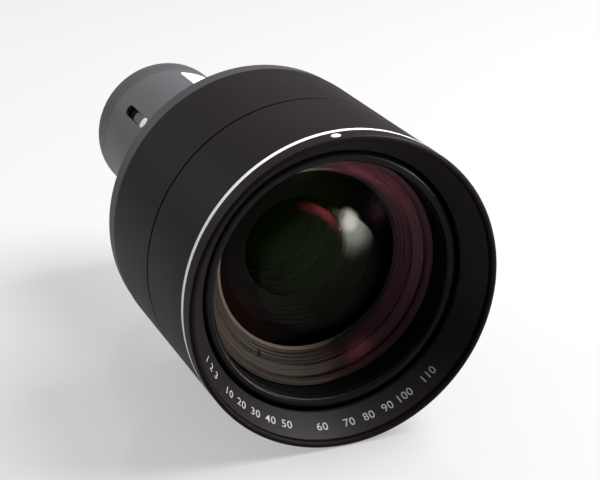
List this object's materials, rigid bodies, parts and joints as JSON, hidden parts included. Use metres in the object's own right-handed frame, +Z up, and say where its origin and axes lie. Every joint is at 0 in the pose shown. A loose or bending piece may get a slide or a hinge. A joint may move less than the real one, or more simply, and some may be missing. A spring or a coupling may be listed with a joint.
{
  "type": "projection lens",
  "caption": "Motorised zoom projection lens with a round black hood, flange, slotted rear barrel, zoom cam, focus ring and bladed iris.",
  "frame": {"origin": "on the optical axis, at the rear face of the flange", "axes": "+Y along the optical axis towards the rear spigot, front glass facing -Y; +Z up with the lens lying on its hood and its index dot on top; +X to the right seen from behind the front glass looking along +Y"},
  "size_m": [0.12, 0.2104, 0.12],
  "materials": {
    "hood_black": "fine matt black anodising",
    "mark_white": "white paint filled into a turned groove or pocket",
    "letter_face": "satin black anodising",
    "lip_satin": "satin dark grey anodising",
    "deep_black": "dull black, no sheen",
    "grey_anodised": "mid grey anodising, bead blasted",
    "rear_ring_grey": "dark grey, fine turned",
    "label_white": "blank white film",
    "ridged_black": "black anodised light-trap ridges",
    "frame_black": "black anodised",
    "turned_metal": "turned, clear anodised",
    "steel": "plain steel",
    "motor_can": "drawn steel can",
    "pinion_brass": "hobbed brass",
    "board_green": "solder mask",
    "connector_black": "moulded",
    "front_coating": "polished, faint magenta coating",
    "inner_coating": "polished, green coating",
    "blade_black": "matt black film steel"
  },
  "bodies": {
    "housing": {"front_shell": "hood_black", "rear_shell": "hood_black", "white_line": "mark_white", "index_dot": "mark_white", "letter_ring": "letter_face", "lip_ring": "lip_satin", "inner_tube": "deep_black", "flange": "grey_anodised", "rear_barrel": "grey_anodised", "rear_ring": "rear_ring_grey", "slot_dot": "mark_white", "blank_label": "label_white", "focus_barrel": "frame_black", "guide_tube": "turned_metal", "cam_retainer": "frame_black", "iris_housing": "frame_black", "iris_cover": "frame_black", "motor_holder": "frame_black", "holder_pillars": "steel", "focus_motor": "motor_can", "zoom_motor": "motor_can", "iris_motor": "motor_can", "circuit_board": "board_green", "rear_connector": "connector_black", "rear_cell": "deep_black", "rear_glass": "inner_coating", "rear_retainer": "deep_black", "flange_screws": "steel", "holder_screws": "steel", "tube_screws": "steel", "locating_pin": "steel"},
    "focus_ring": {"focus_ring": "turned_metal"},
    "front_group": {"front_cell": "deep_black", "front_glass": "front_coating", "front_retainer": "deep_black", "front_baffle": "ridged_black", "notched_ring": "ridged_black", "second_glass": "inner_coating", "third_cell": "deep_black", "third_glass": "inner_coating", "focus_followers": "steel"},
    "zoom_cam": {"zoom_cam": "turned_metal"},
    "front_zoom_group": {"front_zoom_cell": "deep_black", "front_zoom_glass": "inner_coating", "front_zoom_followers": "steel"},
    "rear_zoom_group": {"rear_zoom_cell": "deep_black", "rear_zoom_glass": "inner_coating", "rear_zoom_followers": "steel", "zoom_key": "grey_anodised"},
    "iris_ring": {"iris_ring": "turned_metal"},
    "focus_pinion": {"focus_pinion": "pinion_brass"},
    "zoom_pinion": {"zoom_pinion": "pinion_brass"},
    "iris_pinion": {"iris_pinion": "pinion_brass"},
    "iris_blade_1": {"iris_blade_1": "blade_black"},
    "iris_blade_2": {"iris_blade_2": "blade_black"},
    "iris_blade_3": {"iris_blade_3": "blade_black"},
    "iris_blade_4": {"iris_blade_4": "blade_black"},
    "iris_blade_5": {"iris_blade_5": "blade_black"},
    "iris_blade_6": {"iris_blade_6": "blade_black"}
  },
  "joints": [
    {"name": "focus_turn", "type": "hinge", "parent": "housing", "child": "focus_ring", "pos_m": [0, 0, 0], "axis": [0, 1, 0], "range_deg": [-40, 40]},
    {"name": "focus_slide", "type": "slide", "parent": "housing", "child": "front_group", "axis": [0, 1, 0], "range_m": [-0.00151, 0.00151]},
    {"name": "zoom_turn", "type": "hinge", "parent": "housing", "child": "zoom_cam", "pos_m": [0, 0, 0], "axis": [0, 1, 0], "range_deg": [0, 70]},
    {"name": "front_zoom_slide", "type": "slide", "parent": "housing", "child": "front_zoom_group", "axis": [0, 1, 0], "range_m": [0, 0.01601]},
    {"name": "rear_zoom_slide", "type": "slide", "parent": "housing", "child": "rear_zoom_group", "axis": [0, 1, 0], "range_m": [0, 0.00901]},
    {"name": "iris_turn", "type": "hinge", "parent": "housing", "child": "iris_ring", "pos_m": [0, 0, 0], "axis": [0, 1, 0], "range_deg": [0, 40]},
    {"name": "focus_pinion_spin", "type": "hinge", "parent": "housing", "child": "focus_pinion", "pos_m": [-0.02684, 0, -0.03979], "axis": [0, 1, 0], "range_deg": [-261, 261]},
    {"name": "zoom_pinion_spin", "type": "hinge", "parent": "housing", "child": "zoom_pinion", "pos_m": [0.02684, 0, -0.03979], "axis": [0, 1, 0], "range_deg": [-456, 1]},
    {"name": "iris_pinion_spin", "type": "hinge", "parent": "housing", "child": "iris_pinion", "pos_m": [0, 0, -0.048], "axis": [0, 1, 0], "range_deg": [-261, 1]},
    {"name": "blade_1_swing", "type": "hinge", "parent": "housing", "child": "iris_blade_1", "pos_m": [0, 0, 0.034], "axis": [0, 1, 0], "range_deg": [0, 24.1]},
    {"name": "blade_2_swing", "type": "hinge", "parent": "housing", "child": "iris_blade_2", "pos_m": [0.02944, 0, 0.017], "axis": [0, 1, 0], "range_deg": [0, 24.1]},
    {"name": "blade_3_swing", "type": "hinge", "parent": "housing", "child": "iris_blade_3", "pos_m": [0.02944, 0, -0.017], "axis": [0, 1, 0], "range_deg": [0, 24.1]},
    {"name": "blade_4_swing", "type": "hinge", "parent": "housing", "child": "iris_blade_4", "pos_m": [0, 0, -0.034], "axis": [0, 1, 0], "range_deg": [0, 24.1]},
    {"name": "blade_5_swing", "type": "hinge", "parent": "housing", "child": "iris_blade_5", "pos_m": [-0.02944, 0, -0.017], "axis": [0, 1, 0], "range_deg": [0, 24.1]},
    {"name": "blade_6_swing", "type": "hinge", "parent": "housing", "child": "iris_blade_6", "pos_m": [-0.02944, 0, 0.017], "axis": [0, 1, 0], "range_deg": [0, 24.1]}
  ],
  "couplings": [
    {"joint": "focus_slide", "follows": "focus_turn", "m_per_rad": 0.0021486},
    {"joint": "front_zoom_slide", "follows": "zoom_turn", "m_per_rad": 0.013096},
    {"joint": "rear_zoom_slide", "follows": "zoom_turn", "m_per_rad": 0.0073666},
    {"joint": "focus_pinion_spin", "follows": "focus_turn", "ratio": -6.5},
    {"joint": "zoom_pinion_spin", "follows": "zoom_turn", "ratio": -6.5},
    {"joint": "iris_pinion_spin", "follows": "iris_turn", "ratio": -6.5},
    {"joint": "blade_1_swing", "follows": "iris_turn", "ratio": 0.6},
    {"joint": "blade_2_swing", "follows": "iris_turn", "ratio": 0.6},
    {"joint": "blade_3_swing", "follows": "iris_turn", "ratio": 0.6},
    {"joint": "blade_4_swing", "follows": "iris_turn", "ratio": 0.6},
    {"joint": "blade_5_swing", "follows": "iris_turn", "ratio": 0.6},
    {"joint": "blade_6_swing", "follows": "iris_turn", "ratio": 0.6}
  ]
}
